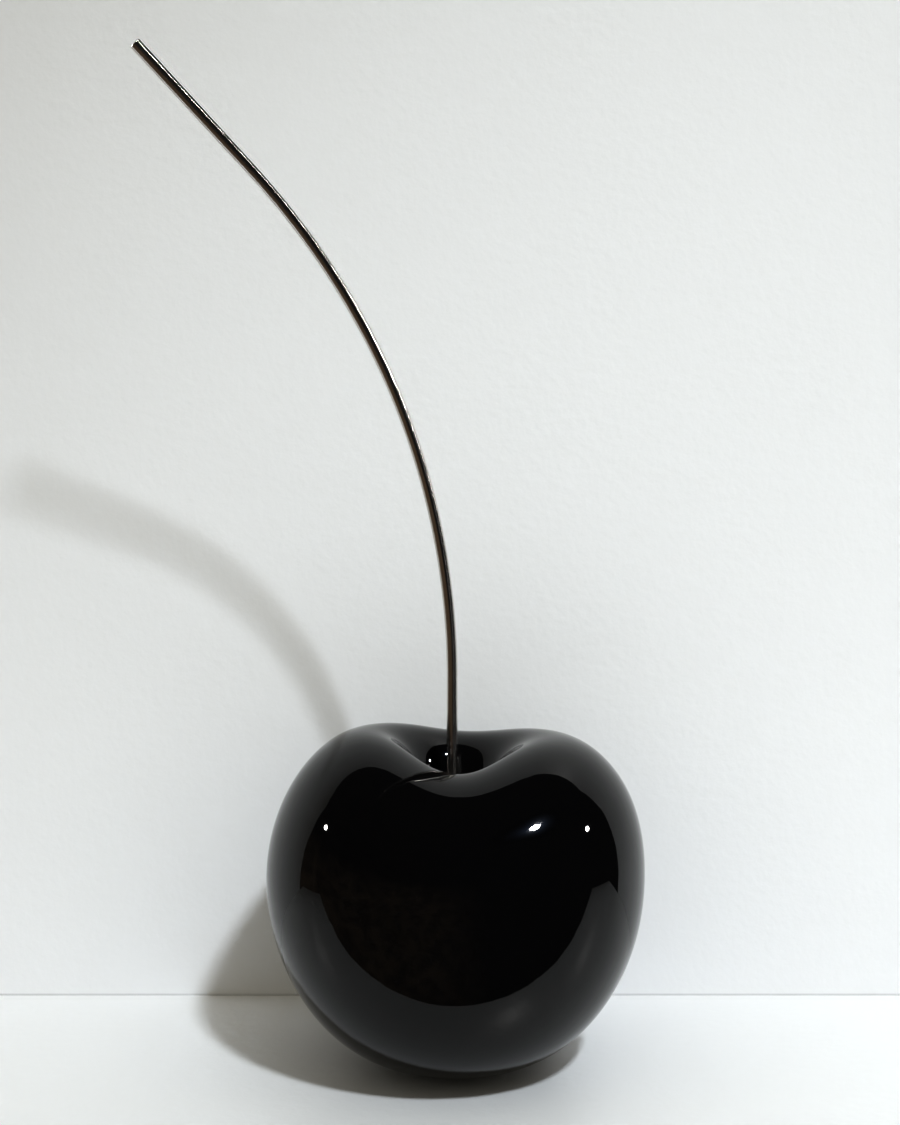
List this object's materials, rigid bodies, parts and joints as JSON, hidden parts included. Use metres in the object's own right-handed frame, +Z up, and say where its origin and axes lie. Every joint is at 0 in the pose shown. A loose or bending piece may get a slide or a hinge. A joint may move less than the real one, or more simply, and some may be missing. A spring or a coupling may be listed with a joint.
{
  "type": "decorative cherry sculpture",
  "caption": "Glossy black ceramic cherry with a dimpled, lobed top, a small flat foot and a long bent polished steel stem; a table ornament.",
  "frame": {"origin": "centre of the flat foot, on the surface the piece stands on", "axes": "+Z up, -Y towards the front, where the deeper cleft of the top faces"},
  "size_m": [0.2667, 0.21, 0.5444],
  "materials": {
    "glaze": "high gloss black glaze",
    "steel": "mirror polished",
    "socket_brass": "plain turned"
  },
  "bodies": {
    "root": {"body": "glaze", "stem": "steel", "stem_socket": "socket_brass"}
  },
  "joints": []
}
